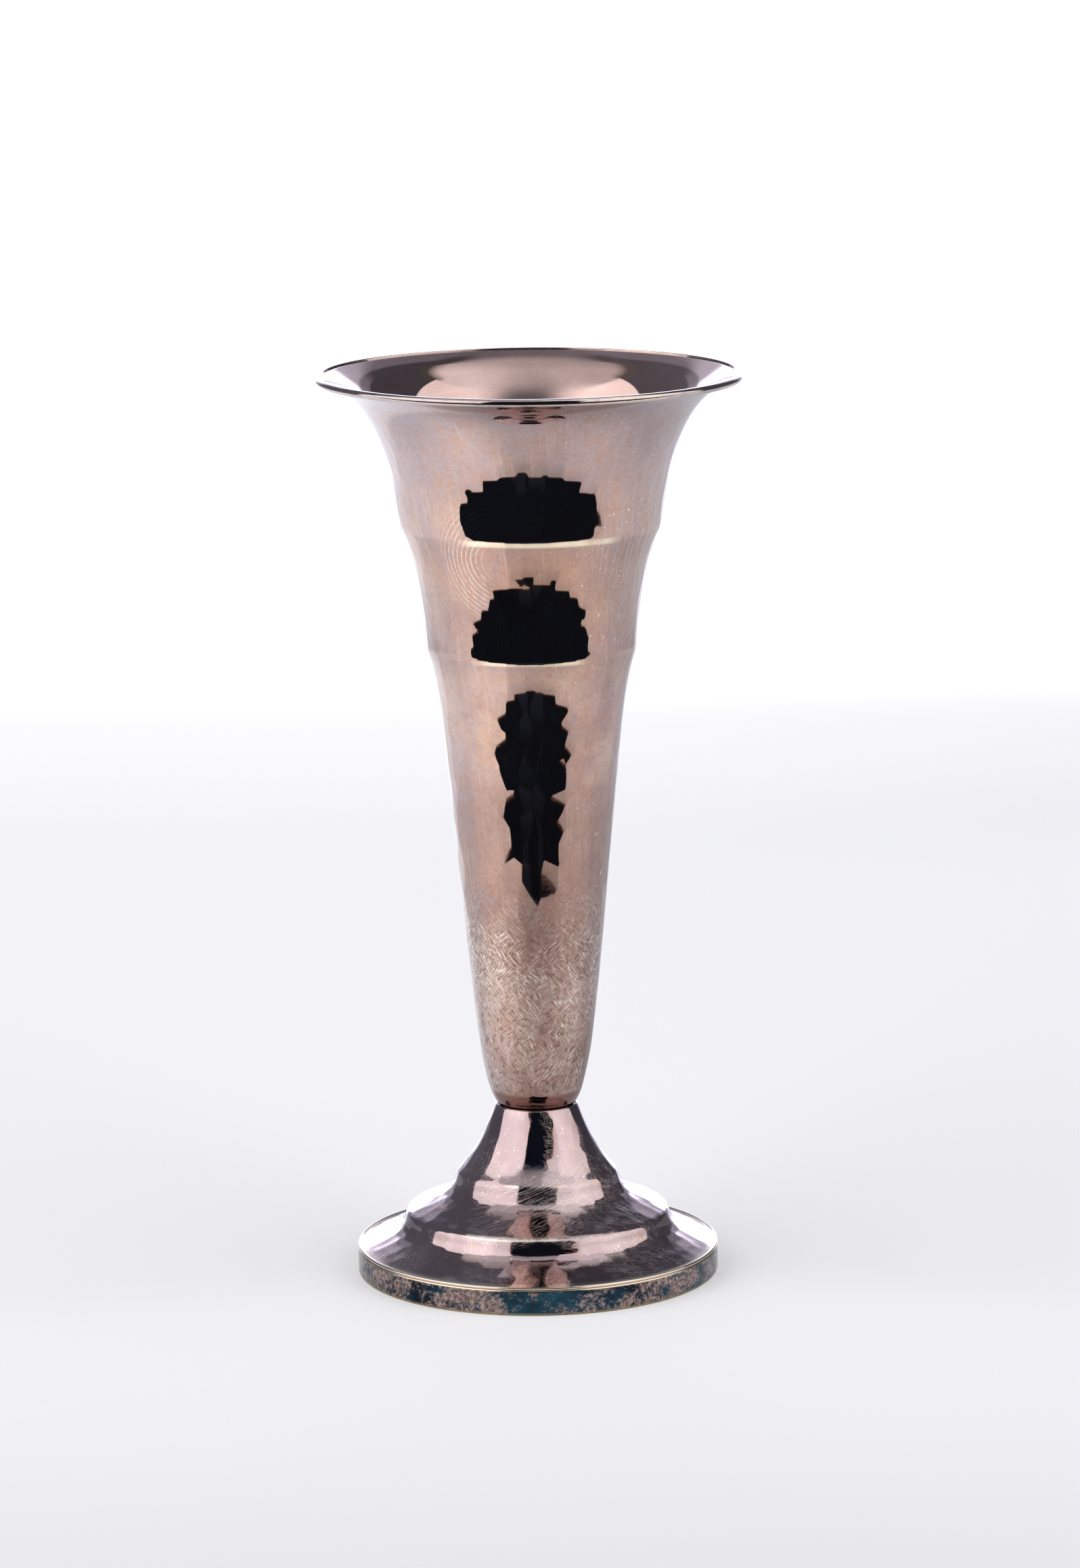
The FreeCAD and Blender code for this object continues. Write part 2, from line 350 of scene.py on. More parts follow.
def hammer_marks(line, rows, around):
    """Relief of shallow, nearly flat marks: 0 in the middle of each, highest on the lines between."""
    s = arclength(line)
    theta = np.arange(around) * 2 * math.pi / around
    relief = np.full((len(line), around), UNMARKED)
    for i, (radius, _) in enumerate(line):
        flat = MOST_ACROSS / max(radius, 1.0)
        for row in rows:
            if abs(row["s"] - s[i]) > MARK_REACH:
                continue
            n = row["n"]
            u = theta / (2 * math.pi) * n - row["phase"]
            base = np.floor(u).astype(int)
            for step in (-1, 0, 1, 2):
                c = (base + step) % n
                across = (u - (base + step) - row["da"][c]) * 2 * math.pi / n * radius
                along = s[i] - row["s"] - row["ds"][c]
                height = np.minimum(row["ka"][c], flat) * across ** 2 + row["ks"][c] * along ** 2
                height += row["ta"][c] * across + row["ts"][c] * along + row["lift"][c]
                np.minimum(relief[i], height, out=relief[i])
    return relief


def dents(line, around, rng):
    """Slow unevenness of raised work: a few waves round and along."""
    s = arclength(line)[:, None]
    theta = (np.arange(around) * 2 * math.pi / around)[None, :]
    field = np.zeros((len(line), around))
    for lobes in DENT_LOBES:
        for _ in range(2):
            wave = rng.uniform(*DENT_WAVES)
            round_it = np.sin(lobes * theta + rng.uniform(0, WAVE_TURN))
            along_it = np.sin(s / wave * WAVE_TURN + rng.uniform(0, WAVE_TURN))
            field += round_it * along_it * rng.uniform(0.4, 1.0) / lobes
    return field * DENT_DEPTH


def soften(field):
    """The relief averaged a little with its neighbours, round and along."""
    field = 0.5 * field + 0.25 * (np.roll(field, 1, 1) + np.roll(field, -1, 1))
    up = np.concatenate([field[1:], field[-1:]])
    down = np.concatenate([field[:1], field[:-1]])
    return 0.5 * field + 0.25 * (up + down)


def fade(heights, low, low_width, high, high_width):
    """0 outside low..high, 1 well inside; it rises over low_width and falls over high_width."""
    rise = np.clip((heights - low) / low_width, 0, 1)
    fall = np.clip((high - heights) / high_width, 0, 1)
    return (rise * fall)[:, None]


# The trumpet

def build_body():
    """The thin shell, hammered outside, with softer marks inside."""
    corner_wear = 0.42
    outer_step, inner_step = 0.5, 0.7
    end_run = 40
    inside_share = -0.7
    stem = tier((BODY_FOOT_RADIUS, NECK[1]), LOWER_RIDGE, STEM_SHARES)
    middle = tier(LOWER_RIDGE, UPPER_RIDGE, MIDDLE_SHARES)
    mouth = tier(UPPER_RIDGE, (LIP_INNER_RADIUS, BODY_TOP), MOUTH_SHARES)
    line = rounded(join(stem, middle, mouth), corner_wear)
    outer = spaced(line, outer_step)
    inside = line - normals(line) * BODY_WALL
    # the inside goes on in its own direction to the wire's inner radius
    slope = (inside[-1] - inside[-end_run]) / (inside[-1, 0] - inside[-end_run, 0])
    end = inside[-1] + slope * (LIP_INNER_RADIUS - inside[-1, 0])
    inner = spaced(np.concatenate([inside, [end]])[::-1], inner_step)
    top_edge = np.linspace(outer[-1], inner[0], 5)[1:-1]
    low_edge = np.linspace(inner[-1], outer[0], 4)[1:-1]
    marks = hammer_marks(outer, hammer_rows(outer, BODY_BANDS), BODY_AROUND) - MARK_OFFSET
    marks += dents(outer, BODY_AROUND, np.random.default_rng(BODY_DENT_SEED))
    marks *= fade(outer[:, 1], *BODY_MARKED)
    nearest = np.round(np.interp(inner[:, 1], outer[:, 1], np.arange(len(outer)))).astype(int)
    nearest = np.clip(nearest, 0, len(outer) - 1)
    relief = np.concatenate([marks, np.zeros((len(top_edge), BODY_AROUND)), inside_share * marks[nearest],
                             np.zeros((len(low_edge), BODY_AROUND))])
    return lathe("trumpet", np.concatenate([outer, top_edge, inner, low_edge]), BODY_AROUND, relief)


def build_lip():
    """Half-round wire, flat against the shell, its inner top edge worn to meet the inside."""
    half = LIP_WIRE_HEIGHT / 2
    middle = OVERALL_HEIGHT - half
    ease = 0.22
    bend = LIP_INNER_RADIUS + LIP_LAND
    turn = np.radians(np.linspace(-90, 90, 29))
    front = np.stack([bend + (LIP_RADIUS - bend) * np.cos(turn), middle + half * np.sin(turn)], 1)
    land = np.linspace(front[-1], (LIP_INNER_RADIUS + ease, OVERALL_HEIGHT), 4)[1:-1]
    inner_edge = arc((LIP_INNER_RADIUS + ease, OVERALL_HEIGHT - ease), ease, 90, 180, 8)
    inner = np.linspace(inner_edge[-1], (LIP_INNER_RADIUS, middle - half), 6)[1:]
    under = np.linspace(inner[-1], front[0], 4)[1:-1]
    return lathe("lip", np.concatenate([front, land, inner_edge, inner, under]), LIP_AROUND)


# The foot

def build_foot():
    """The stepped shell, with a beaded lower edge that lies on the band."""
    corner_wear = 0.70
    outer_step, inner_step = 0.42, 0.9
    bead = 0.30
    bead_room = 0.55
    above_band = 0.02
    inside_above_band = 0.05
    lower = tier((FOOT_RADIUS, BAND_HEIGHT), LOWER_STEP, LOWER_TIER_SHARES)
    middle = tier(LOWER_STEP, UPPER_STEP, MIDDLE_TIER_SHARES)
    upper = tier(UPPER_STEP, NECK, UPPER_TIER_SHARES)
    line = rounded(join(lower, middle, upper), corner_wear)
    centre = (FOOT_RADIUS - bead, BAND_HEIGHT + bead + above_band)
    edge = arc(centre, bead, -90, 100, 11)
    outer = spaced(line[line[:, 0] < centre[0] - bead_room], outer_step)
    inside = line - normals(line) * FOOT_WALL
    inner = spaced(inside[inside[:, 1] >= BAND_HEIGHT + inside_above_band][::-1], inner_step)
    groove = np.array([(centre[0] - bead, outer[0, 1] - above_band)])
    top_edge = np.linspace(outer[-1], inner[0], 4)[1:-1]
    low_edge = np.linspace(inner[-1], edge[0], 5)[1:-1]
    marks = soften(hammer_marks(outer, hammer_rows(outer, FOOT_BANDS), FOOT_AROUND)) - MARK_OFFSET
    marks += dents(outer, FOOT_AROUND, np.random.default_rng(FOOT_DENT_SEED))
    marks *= fade(outer[:, 1], *FOOT_MARKED)
    parts = [edge, groove, outer, top_edge, inner, low_edge]
    relief = [marks if part is outer else np.zeros((len(part), FOOT_AROUND)) for part in parts]
    return lathe("stepped_foot", np.concatenate(parts), FOOT_AROUND, np.concatenate(relief))


def build_band():
    """The plain upright band, its two outer edges worn round and its inner lower edge eased."""
    r = FOOT_RADIUS
    ease = 0.3
    inner_ease = 0.1
    low = arc((r - ease, ease), ease, -90, 0, 7)
    top = arc((r - ease, BAND_HEIGHT - ease), ease, 0, 90, 7)
    side = np.linspace(low[-1], top[0], 14)[1:-1]
    inner = np.linspace((r - BAND_WALL, BAND_HEIGHT), (r - BAND_WALL, inner_ease), 8)
    under = np.array([(r - BAND_WALL + inner_ease, 0.0)])
    return lathe("band", np.concatenate([low, side, top, inner, under]), BAND_AROUND)


# Shader nodes

class Nodes:
    """Short names for the nodes of one tree."""

    def __init__(self, tree):
        self.tree = tree
        tree.nodes.clear()

    def add(self, kind, **props):
        node = self.tree.nodes.new(kind)
        for key, value in props.items():
            setattr(node, key, value)
        return node

    def wire(self, kind, **inputs):
        """A new node with its inputs set by name, where _ stands for a space."""
        node = self.add(kind)
        for name, value in inputs.items():
            self.set(node.inputs[name.replace("_", " ")], value)
        return node

    def set(self, socket, value):
        """Links a socket to another node's output, or sets it to a number or a colour."""
        if isinstance(value, bpy.types.NodeSocket):
            self.tree.links.new(value, socket)
        elif value is not None:
            socket.default_value = value

    def math(self, op, a, b=None):
        node = self.add("ShaderNodeMath", operation=op)
        self.set(node.inputs[0], a)
        self.set(node.inputs[1], b)
        return node.outputs[0]

    def less(self, a, b):
        return self.math("SUBTRACT", a, b)

    def inverse(self, value):
        return self.less(1.0, value)

    def most(self, *values):
        out = values[0]
        for value in values[1:]:
            out = self.math("MAXIMUM", out, value)
        return out

    def product(self, *values):
        out = values[0]
        for value in values[1:]:
            out = self.math("MULTIPLY", out, value)
        return out

    def total(self, *values):
        out = values[0]
        for value in values[1:]:
            out = self.math("ADD", out, value)
        return out

    def vmath(self, op, a, b=None):
        node = self.add("ShaderNodeVectorMath", operation=op)
        self.set(node.inputs[0], a)
        self.set(node.inputs[1], b)
        return node.outputs["Value"] if op in ("LENGTH", "DISTANCE", "DOT_PRODUCT") else node.outputs[0]

    def ramp(self, x, low, high, to=(0.0, 1.0)):
        """A smooth step from to[0] at low to to[1] at high."""
        node = self.add("ShaderNodeMapRange", interpolation_type="SMOOTHSTEP")
        for socket, value in zip(node.inputs[:5], (x, low, high, *to)):
            self.set(socket, value)
        return node.outputs[0]

    def window(self, x, low, high, soft, top=1.0):
        """`top` between low and high, 0 outside, with soft sides."""
        rise = self.ramp(x, low - soft, low + soft, to=(0.0, top))
        return self.product(rise, self.ramp(x, high - soft, high + soft, to=(1.0, 0.0)))

    def mix(self, share, a, b):
        node = self.add("ShaderNodeMix", data_type="RGBA")
        self.set(node.inputs[0], share)
        self.set(node.inputs[6], colour(a))
        self.set(node.inputs[7], colour(b))
        return node.outputs[2]

    def noise(self, vector, scale, detail, rough=0.55):
        node = self.wire("ShaderNodeTexNoise", Vector=vector, Scale=scale, Detail=detail, Roughness=rough)
        return node.outputs["Fac"]

    def bump(self, height, distance, strength=1.0):
        return self.wire("ShaderNodeBump", Height=height, Distance=distance, Strength=strength).outputs[0]

    def mix_shader(self, share, a, b):
        node = self.add("ShaderNodeMixShader")
        for socket, value in zip(node.inputs, (share, a, b)):
            self.set(socket, value)
        return node.outputs[0]

    def moved(self, vector, by):
        return self.vmath("ADD", vector, by)

    def scaled(self, vector, by):
        return self.vmath("MULTIPLY", vector, by)

    def turned(self, vector, angle):
        node = self.add("ShaderNodeVectorRotate", rotation_type="Z_AXIS")
        self.set(node.inputs["Vector"], vector)
        self.set(node.inputs["Angle"], angle)
        return node.outputs[0]

    def split(self, vector):
        node = self.add("ShaderNodeSeparateXYZ")
        self.set(node.inputs[0], vector)
        return node.outputs


def colour(value):
    """A colour of three numbers gets its alpha, and anything else stays as it is."""
    return (*value, 1.0) if isinstance(value, tuple) and len(value) == 3 else value


def material(name):
    """An empty node material and the helper for its nodes."""
    mat = bpy.data.materials.new(name)
    mat.use_nodes = True
    return mat, Nodes(mat.node_tree)


def strokes(n, p, z, twist, length, width, share, seed, wander=0.0):
    """Fine strokes that follow a helix of the given twist in radians a metre: 1 on a stroke, 0 between.
    The width is as at STROKE_RADIUS and grows with the distance from the axis."""
    on_ring = n.vmath("NORMALIZE", n.scaled(p, (1.0, 1.0, 0.0)))
    on_ring = n.scaled(on_ring, (STROKE_RADIUS, STROKE_RADIUS, 0.0))
    ring = n.vmath("ADD", on_ring, n.scaled(p, (0.0, 0.0, 1.0)))
    along = n.turned(ring, n.math("MULTIPLY", z, twist))
    if wander:
        drift = n.wire("ShaderNodeTexNoise", Vector=n.moved(p, (seed, 0.0, seed)), Scale=90.0, Detail=1.0)
        along = n.moved(along, n.scaled(drift.outputs["Color"], (wander, wander, wander)))
    cells = n.scaled(along, (1 / width, 1 / width, 1 / length))
    value = n.noise(n.moved(cells, (seed * 17.0, seed * 5.0, seed * 11.0)), 1.0, 1.0, 0.4)
    return n.ramp(value, share, share + 0.05)


def finish_material(n, **look):
    """Puts a Principled shader with the given inputs on the material."""
    shader = n.wire("ShaderNodeBsdfPrincipled", **look)
    n.wire("ShaderNodeOutputMaterial", Surface=shader.outputs[0])


def finish_metal(n, col, rough, bump_height, bump_size):
    """The shader of a metal, from its colour, its roughness and a fine relief."""
    finish_material(n, Base_Color=col, Metallic=1.0, Roughness=rough, Normal=n.bump(bump_height, bump_size))


def object_place(n, seed):
    """Object coordinates, a shifted copy of them for the noises, and x, y and height in metres."""
    p = n.add("ShaderNodeTexCoord").outputs["Object"]
    x, y, z = n.split(p)
    return p, n.moved(p, (seed, seed * 0.7, -seed)), x, y, z


def body_tarnish(n, q, x, z, clouds, patches, grain):
    """Brown, rose and peach in clouds, greyer near the mouth and browner low on the stem, with painted shade
    in bands on the lower stem and the middle tier.
    """
    streaks = n.noise(n.scaled(q, (1.0, 1.0, 0.08)), 620.0, 3.0, 0.6)
    mottle = n.noise(n.moved(q, (0.7, 0.2, 0.1)), 330.0, 5.0, 0.65)
    col = n.mix(n.ramp(clouds, 0.38, 0.62), PLATE_BROWN, PLATE_ROSE)
    peach = n.product(n.ramp(patches, 0.45, 0.66), n.ramp(z, 0.165, 0.145), 0.85)
    col = n.mix(peach, col, PEACH)
    high = n.product(n.ramp(z, 0.148, 0.170), n.ramp(clouds, 0.62, 0.42, to=(0.35, 1.0)))
    col = n.mix(n.product(high, 0.8), col, MOUTH_GREY)
    col = n.mix(n.ramp(mottle, 0.50, 0.64, to=(0.0, 0.42)), col, MOTTLE_RUST)
    col = n.mix(n.ramp(mottle, 0.46, 0.36, to=(0.0, 0.45)), col, MOTTLE_GREY)
    brown = n.product(n.ramp(z, 0.088, 0.060), n.ramp(patches, 0.40, 0.60, to=(0.35, 1.0)),
                      n.ramp(x, -0.012, 0.004, to=(0.20, 1.0)))
    col = n.mix(brown, col, STEM_BROWN)
    under_ridge = n.total(n.window(z, 0.1390, 0.1496, 0.003, 0.7), n.window(z, 0.1215, 0.1256, 0.002, 0.2))
    under_ridge = n.product(under_ridge, n.ramp(patches, 0.3, 0.6), n.window(x, -0.020, 0.012, 0.006))
    col = n.mix(under_ridge, col, UNDER_RIDGE)
    col = n.mix(n.ramp(streaks, 0.50, 0.72, to=(0.0, 0.16)), col, STREAK_PALE)
    col = n.mix(n.ramp(grain, 0.50, 0.75, to=(0.0, 0.28)), col, GRAIN_BROWN)
    # painted shade: darker bands on the lower stem and on the middle tier
    painted_shade_bands = n.total(n.window(z, 0.062, 0.100, 0.008, 0.42), n.window(z, 0.124, 0.149, 0.003, 0.22))
    return n.mix(painted_shade_bands, col, PAINTED_SHADE_BROWN)


def stem_scrub(n, p, q, z):
    """Short fine scratches, which lean left in some places and right in others, with a few flat ones."""
    left = strokes(n, p, z, 60.0, 0.0017, 0.00011, 0.550, 1.7, 0.0014)
    right = strokes(n, p, z, -80.0, 0.0015, 0.00011, 0.550, 2.9, 0.0014)
    flat = strokes(n, p, z, 230.0, 0.0009, 0.00010, 0.60, 4.1, 0.0014)
    leans_right = n.ramp(n.noise(n.moved(q, (0.2, 0.6, 0.1)), 260.0, 3.0), 0.42, 0.58)
    crossed = n.total(n.product(left, n.inverse(leans_right)), n.product(right, leans_right))
    return n.most(crossed, n.product(flat, 0.6))


def turned_rings(n, p, x, y, grain):
    """Fine rings left of the middle tier's front, where the plate was rubbed round and round."""
    ring = n.vmath("DISTANCE", p, (-0.004, -0.020, 0.1475))
    waves = n.ramp(n.math("SINE", n.math("MULTIPLY", ring, 7600.0)), 0.55, 0.95)
    return n.product(waves, n.window(ring, 0.006, 0.0135, 0.002), n.ramp(x, -0.006, -0.010),
                     n.ramp(y, 0.0, -0.004), n.ramp(grain, 0.35, 0.55), 0.55)


def ridge_wear_and_highlight(n, x, y, z, patches):
    """Bare metal along the two ridges, at the front, with a painted highlight along their edges."""
    upper = n.product(n.window(z, 0.1493, 0.1504, RIDGE_EDGE), n.window(x, -0.0125, 0.0160, 0.002))
    lower = n.product(n.window(z, 0.1254, 0.1262, RIDGE_EDGE), n.window(x, -0.0105, 0.0095, 0.002), 0.8)
    return n.product(n.total(upper, lower), n.ramp(y, 0.0, -0.005),
                     n.ramp(patches, 0.30, 0.50, to=(0.45, 1.0)))


def inside_tarnish(n, p, z, clouds):
    """Duller and paler than the outside, with fine scratches round it."""
    dull = n.mix(n.ramp(clouds, 0.35, 0.65), INSIDE_DULL, INSIDE_PALE)
    inner_lines = strokes(n, p, z, 420.0, 0.012, 0.00007, 0.63, 6.3, 0.002)
    return n.mix(n.product(inner_lines, 0.5), dull, INSIDE_SCRATCH)


def body_metal():
    """Silver plate gone brown and rose, worn pale with a painted highlight on the ridges, scrubbed low on the
    stem, and dull rose inside, with a rougher patch at the back of the mouth."""
    mat, n = material("body_silver")
    p, q, x, y, z = object_place(n, 0.0)
    clouds = n.noise(q, 38.0, 5.0, 0.6)
    patches = n.noise(n.moved(q, (0.31, 0.0, 0.2)), 75.0, 4.0, 0.6)
    grain = n.noise(q, 1100.0, 3.0, 0.7)
    col = body_tarnish(n, q, x, z, clouds, patches, grain)
    # scratches: scrubbed low on the stem, a few upright ones elsewhere
    above_joint = n.ramp(z, 0.0368, 0.0380)
    low = n.product(n.ramp(z, 0.084, 0.062), above_joint)
    rubbed = n.product(n.ramp(z, 0.072, 0.058), above_joint)
    slanted = n.turned(n.scaled(n.moved(q, (0.5, 0.1, 0.0)), (1.0, 1.0, 0.5)), 0.5)
    patchy = n.ramp(n.noise(slanted, 150.0, 3.0, 0.6), 0.36, 0.63, to=(0.14, 1.0))
    scrub = n.product(stem_scrub(n, p, q, z), n.total(n.product(low, patchy), 0.10))
    upright = strokes(n, p, z, 3.0, 0.016, 0.00014, 0.62, 0.3)
    upright = n.product(upright, n.ramp(clouds, 0.45, 0.6, to=(0.03, 0.20)))
    lines = n.most(scrub, upright, turned_rings(n, p, x, y, grain))
    speck = n.ramp(n.noise(n.moved(q, (0.0, 0.9, 0.3)), 1500.0, 1.0), 0.715, 0.75)
    speck = n.product(speck, n.ramp(clouds, 0.45, 0.60), n.ramp(x, -0.004, 0.012))
    dark_fleck = n.ramp(n.noise(n.moved(q, (0.2, 0.3, 0.8)), 1000.0, 3.0, 0.7), 0.50, 0.62)
    col = n.mix(n.product(low, dark_fleck, 0.75), col, FLECK_BROWN)
    col = n.mix(n.product(n.most(lines, speck), 0.95), col, SCRATCH_SILVER)
    # pale along the ridges at the front: bare metal and a painted highlight
    col = n.mix(ridge_wear_and_highlight(n, x, y, z, patches), col, RIDGE_BARE_AND_HIGHLIGHT)
    # brown where the stem turns in to the foot
    col = n.mix(n.ramp(z, 0.0375, 0.0368), col, JOINT_BROWN)
    # the inside is known by its normal, which points to the axis
    outward = n.vmath("DOT_PRODUCT", n.add("ShaderNodeNewGeometry").outputs["True Normal"],
                      n.scaled(p, (1.0, 1.0, 0.0)))
    within = n.math("LESS_THAN", outward, 0.0)
    col = n.mix(within, col, inside_tarnish(n, p, z, clouds))
    dull_back = n.product(within, n.window(x, -0.013, 0.013, 0.005), n.ramp(y, 0.0, 0.005), 0.25)
    rough = n.total(POLISH, n.product(lines, low, 0.22), n.product(rubbed, patchy, 0.16),
                    n.ramp(grain, 0.55, 0.8, to=(0.0, 0.015)), dull_back)
    height = n.total(n.product(lines, low, 0.8), n.product(lines, 0.08),
                     n.product(n.noise(q, 700.0, 2.0), 0.04))
    finish_metal(n, col, rough, height, SCRATCH_DEPTH)
    return mat


def foot_metal():
    """The same plate gone purple-brown, with fine scratches and a few orange flecks."""
    mat, n = material("foot_metal")
    p, q, x, y, z = object_place(n, 3.1)
    clouds = n.noise(q, 55.0, 5.0, 0.6)
    grain = n.noise(q, 900.0, 3.0, 0.7)
    col = n.mix(n.ramp(clouds, 0.38, 0.62), FOOT_PURPLE, FOOT_ROSE)
    fleck = n.product(n.ramp(n.noise(q, 460.0, 4.0, 0.7), 0.60, 0.68), n.ramp(clouds, 0.40, 0.55))
    col = n.mix(n.product(fleck, 0.75), col, FLECK_ORANGE)
    speck = n.ramp(n.noise(n.moved(q, (0.4, 0.9, 0.3)), 1500.0, 1.0), 0.71, 0.75)
    col = n.mix(n.product(speck, 0.8), col, SPECK_SILVER)
    # scratches all over, and longer ones swept across the front of the middle tier
    left = strokes(n, p, z, 30.0, 0.003, 0.00006, 0.64, 5.3, 0.0010)
    flat = strokes(n, p, z, 260.0, 0.0011, 0.00006, 0.64, 7.9, 0.0010)
    lines = n.product(n.most(left, flat), n.ramp(clouds, 0.42, 0.62, to=(0.1, 0.8)))
    swept = strokes(n, p, z, -150.0, 0.0026, 0.00006, 0.60, 9.7, 0.0010)
    swept = n.product(swept, n.window(x, -0.013, 0.011, 0.003), n.window(z, 0.0115, 0.0235, 0.002), 0.9)
    lines = n.most(lines, swept)
    col = n.mix(n.product(lines, 0.7), col, FOOT_SCRATCH)
    # bare metal and a painted highlight along the two steps, at the front, and on the bead
    front = n.ramp(y, -0.004, -0.010)
    lower = n.product(n.window(z, 0.01215, 0.01275, STEP_EDGE), n.window(x, -0.0135, 0.0040, 0.002), front)
    upper = n.product(n.window(z, 0.0202, 0.0207, STEP_EDGE), n.window(x, -0.006, 0.003, 0.002), front, 0.5)
    worn = n.product(n.total(lower, upper), n.ramp(grain, 0.35, 0.55, to=(0.5, 1.0)))
    # pale along the steps at the front: bare metal and a painted highlight
    col = n.mix(worn, col, STEP_BARE_AND_HIGHLIGHT)
    # pale on the bead: bare metal and a painted highlight
    col = n.mix(n.ramp(z, 0.0060, 0.0056, to=(0.0, 0.8)), col, BEAD_BARE_AND_HIGHLIGHT)
    rough = n.total(POLISH, n.product(lines, 0.12), n.ramp(grain, 0.5, 0.8, to=(0.0, 0.02)),
                    n.product(worn, 0.30))
    height = n.total(n.product(lines, 0.4), n.product(n.noise(q, 600.0, 2.0), 0.12))
    finish_metal(n, col, rough, height, SCRATCH_DEPTH)
    return mat


def lip_metal():
    """Polished wire, lightly tarnished."""
    mat, n = material("lip_metal")
    q = object_place(n, 5.3)[1]
    clouds = n.noise(q, 60.0, 4.0, 0.6)
    fine = n.noise(n.scaled(q, (1.0, 1.0, 4.0)), 500.0, 3.0, 0.6)
    col = n.mix(n.ramp(clouds, 0.40, 0.62), LIP_GREY, LIP_PALE)
    col = n.mix(n.ramp(fine, 0.52, 0.70, to=(0.0, 0.5)), col, LIP_BROWN)
    finish_metal(n, col, n.ramp(fine, 0.3, 0.8, to=(0.04, 0.14)), fine, LIP_GRAIN_DEPTH)
    return mat


def band_metal():
    """Heavy blue-black tarnish, rubbed through to brown in patches and to brass along both edges."""
    mat, n = material("band_metal")
    _, q, x, _, z = object_place(n, 8.9)
    clouds = n.noise(q, 60.0, 5.0, 0.65)
    mottle = n.noise(n.scaled(q, (1.0, 1.0, 1.6)), 190.0, 6.0, 0.68)
    col = n.mix(n.ramp(clouds, 0.36, 0.62), BLUE_BLACK, BLUE)
    grain = n.noise(q, 1500.0, 3.0, 0.75)
    side = n.ramp(n.math("ABSOLUTE", n.math("ADD", x, -0.001)), 0.004, 0.013, to=(-0.09, 0.06))
    rubbed = n.ramp(n.total(mottle, side, n.ramp(grain, 0.3, 0.7, to=(-0.07, 0.07)),
                            n.ramp(clouds, 0.40, 0.60, to=(-0.06, 0.04))), 0.43, 0.64)
    brown = n.mix(n.ramp(grain, 0.35, 0.70), RUBBED_DARK, RUBBED_PALE)
    col = n.mix(n.product(rubbed, 0.9), col, brown)
    bottom = n.ramp(z, 0.0007, 0.0003)
    col = n.mix(n.product(bottom, 0.55), col, BOTTOM_BRASS)
    top = n.ramp(z, 0.0047, 0.0050)
    col = n.mix(n.product(top, 0.9), col, TOP_BRASS)
    finish_metal(n, col, n.ramp(mottle, 0.3, 0.7, to=(0.05, 0.22)), mottle, BAND_GRAIN_DEPTH)
    return mat


def plain(name, low, high, metallic, rough, scale, bump=0.0):
    """A cloudy two-tone finish for the pieces inside."""
    mat, n = material(name)
    p = n.add("ShaderNodeTexCoord").outputs["Object"]
    share = n.noise(p, scale, 5.0, 0.6)
    roughness = n.ramp(share, 0.3, 0.7, to=(rough * 0.85, min(1.0, rough * 1.15)))
    look = {"Base_Color": n.mix(n.ramp(share, 0.3, 0.7), low, high), "Metallic": metallic,
            "Roughness": roughness}
    if bump:
        look["Normal"] = n.bump(n.noise(p, scale * 12, 3.0, 0.7), bump, 0.5)
    finish_material(n, **look)
    return mat


# Pieces

for make, slot, node, finish in ((build_body, "hammered_silver", "trumpet_body", body_metal),
                                 (build_foot, "foot_silver", "foot_shell", foot_metal),
                                 (build_lip, "lip_silver", "lip_wire", lip_metal),
                                 (build_band, "band_silver", "foot_band", band_metal)):
    piece = make()
    piece.data.materials.append(finish())
    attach(piece, "root")
    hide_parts(node)

carried = {
    "body_floor": plain("floor_disc_metal", (0.30, 0.27, 0.26), (0.42, 0.38, 0.37), 1.0, 0.25, 300),
    "foot_weight": plain("cast_filler", (0.50, 0.47, 0.42), (0.62, 0.58, 0.52), 0.0, 0.9, 260, 0.0003),
    "fixing_stud": plain("stud_brass", (0.50, 0.36, 0.15), (0.62, 0.46, 0.22), 1.0, 0.3, 400),
    "stud_washer": plain("washer_steel", (0.40, 0.40, 0.39), (0.55, 0.55, 0.54), 1.0, 0.35, 400),
    "stud_nut": plain("nut_brass", (0.46, 0.33, 0.14), (0.60, 0.45, 0.22), 1.0, 0.32, 400),
    "base_plate": plain("plate_metal", (0.42, 0.33, 0.17), (0.56, 0.45, 0.26), 1.0, 0.35, 200),
    "baize_pad": plain("green_baize", (0.012, 0.045, 0.018), (0.025, 0.075, 0.032), 0.0, 0.95, 900, 0.0004),
}
for node, mat in carried.items():
    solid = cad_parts[node]
    solid.data.materials.clear()
    solid.data.materials.append(mat)

# Floor and studio

def table_backdrop(n, x, y):
    """What the camera sees on the table: pale grey near by and white further off."""
    near = n.ramp(y, -0.24, -0.05, to=(0.18, 0.275))
    far = n.ramp(y, 0.40, 0.60, to=(0.0, 0.07))
    farthest = n.ramp(y, 0.58, 0.76, to=(0.0, 0.25))
    to_right = n.ramp(x, -0.10, 0.20, to=(0.0, -0.015))
    far_right = n.product(n.ramp(x, -0.05, 0.25), n.window(y, 0.42, 0.66, 0.05, 0.05))
    return n.less(n.total(near, far, farthest, to_right), far_right)


def table_in_metal(n, x, y, sideways):
    """What metal sees on the table: bright on the left, dimmer on the right, in the middle and behind."""
    left = n.ramp(x, -0.13, -0.02, to=(0.82, 0.28))
    middle = n.ramp(y, TABLE_EDGE, -0.15, to=(0.0, 0.26))
    right = n.ramp(x, 0.05, 0.15, to=(0.0, 0.16))
    back = n.product(n.ramp(y, -0.10, 0.10, to=(0.0, 0.34)), n.ramp(x, -0.15, 0.10, to=(1.15, 0.9)),
                     n.ramp(sideways, 0.18, 0.34, to=(1.0, 0.5)))
    back_left = n.product(n.ramp(n.math("ADD", x, y), -0.02, 0.04), n.ramp(x, -0.01, -0.05))
    back = n.product(back, n.inverse(n.product(back_left, 0.65)))
    return n.less(n.total(left, middle, right), back)


